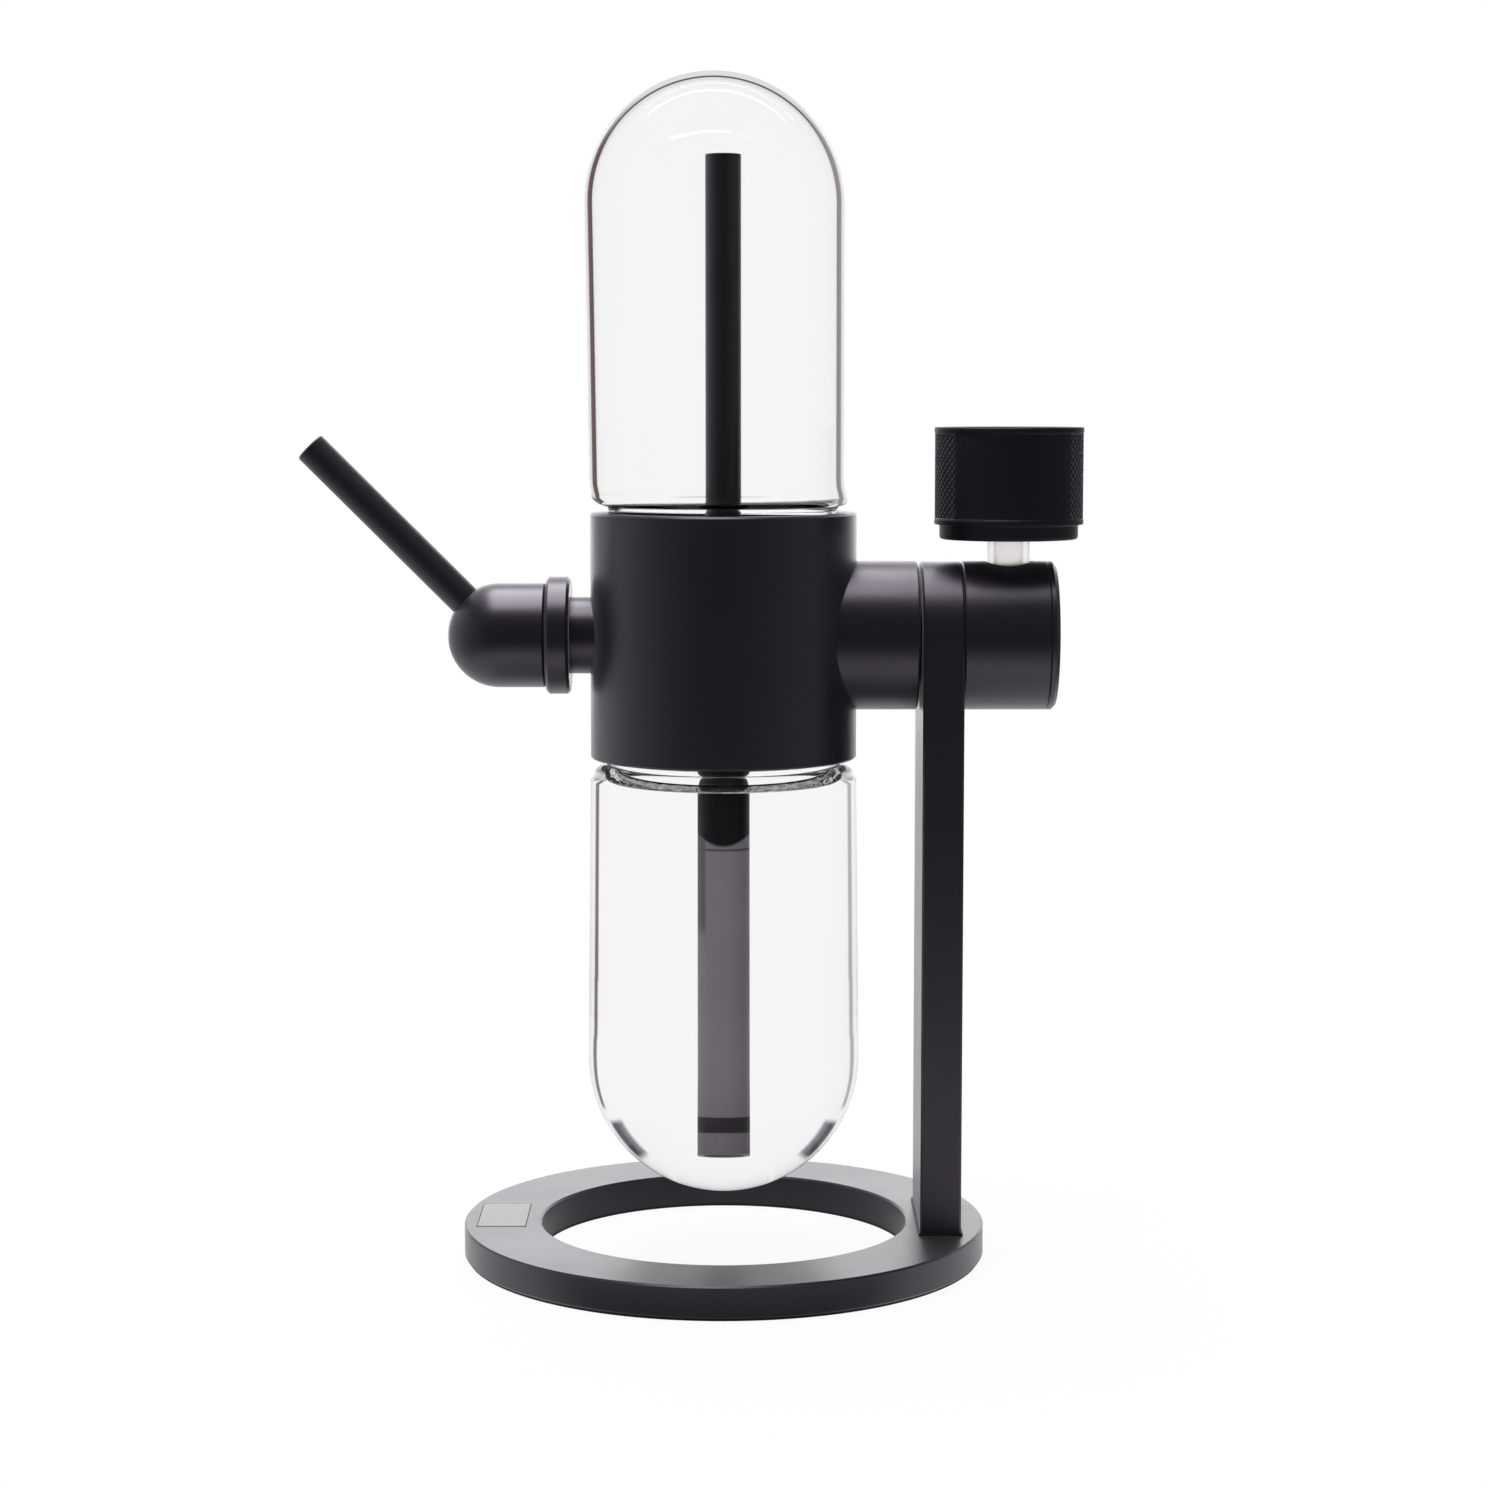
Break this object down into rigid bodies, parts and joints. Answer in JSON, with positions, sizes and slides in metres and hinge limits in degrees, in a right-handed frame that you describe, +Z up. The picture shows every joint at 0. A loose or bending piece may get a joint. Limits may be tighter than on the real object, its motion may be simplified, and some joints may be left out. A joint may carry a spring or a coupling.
{
  "type": "gravity infuser",
  "caption": "Tabletop gravity infuser: glass globes above and below a metal body that turns on an upright over a ring base, with a swivel mouthpiece and a lift-out bowl.",
  "frame": {"origin": "centre of the base ring's opening, on the surface that the foot stands on", "axes": "+Z up; +X along the pivot, from the globes towards the upright and the bowl; the mouthpiece is on -X; -Y is the front"},
  "size_m": [0.2965, 0.2, 0.4505],
  "materials": {
    "black_anodised": "satin black anodised, fine blasted grain",
    "black_silicone": "matt",
    "stainless": "brushed",
    "magnet": "bright plated",
    "bearing_plastic": "matt",
    "clear_glass": "polished clear",
    "ground_glass": "clear, ground stem"
  },
  "bodies": {
    "root": {"base_ring": "black_anodised", "base_foot": "black_silicone", "upright": "black_anodised", "upright_gasket": "black_silicone", "upright_bolts": "stainless", "valve_shaft": "black_anodised", "thrust_washer": "bearing_plastic", "shaft_nut": "stainless", "nut_seal": "black_silicone", "shaft_magnet": "magnet", "outlet_seal": "black_silicone", "intake_hub": "black_anodised", "hub_cap": "black_anodised", "cap_seal": "black_silicone", "hub_dowel": "stainless", "stem_socket": "black_silicone"},
    "rotor": {"centre_body": "black_anodised", "pivot_boss": "black_anodised", "boss_screws": "stainless", "inner_bearing": "bearing_plastic", "outer_bearing": "bearing_plastic", "valve_sleeve": "bearing_plastic", "collar_washers": "bearing_plastic", "upper_globe": "clear_glass", "lower_globe": "clear_glass", "upper_neck_seal": "black_silicone", "lower_neck_seal": "black_silicone", "upper_cushion": "black_silicone", "lower_cushion": "black_silicone", "upper_downtube": "black_anodised", "lower_downtube": "black_anodised", "upper_tube_grommet": "black_silicone", "lower_tube_grommet": "black_silicone"},
    "coupling": {"coupling_ring": "black_anodised", "coupling_magnet": "magnet", "swivel_seal": "black_silicone", "swivel_clip": "stainless"},
    "mouthpiece": {"elbow": "black_anodised", "mouth_tube": "black_anodised"},
    "bowl": {"bowl_sleeve": "black_silicone", "bowl_cup": "ground_glass", "bowl_screen": "stainless"}
  },
  "joints": [
    {"name": "globe_turn", "type": "hinge", "parent": "root", "child": "rotor", "pos_m": [0, 0, 0.2388], "axis": [1, 0, 0], "continuous": true},
    {"name": "coupling_pull", "type": "slide", "parent": "root", "child": "coupling", "axis": [-1, 0, 0], "range_m": [0, 0.06]},
    {"name": "mouthpiece_swivel", "type": "hinge", "parent": "coupling", "child": "mouthpiece", "pos_m": [-0.0849, 0, 0.2388], "axis": [1, 0, 0], "continuous": true},
    {"name": "bowl_lift", "type": "slide", "parent": "root", "child": "bowl", "axis": [0, 0, 1], "range_m": [0, 0.06]}
  ]
}
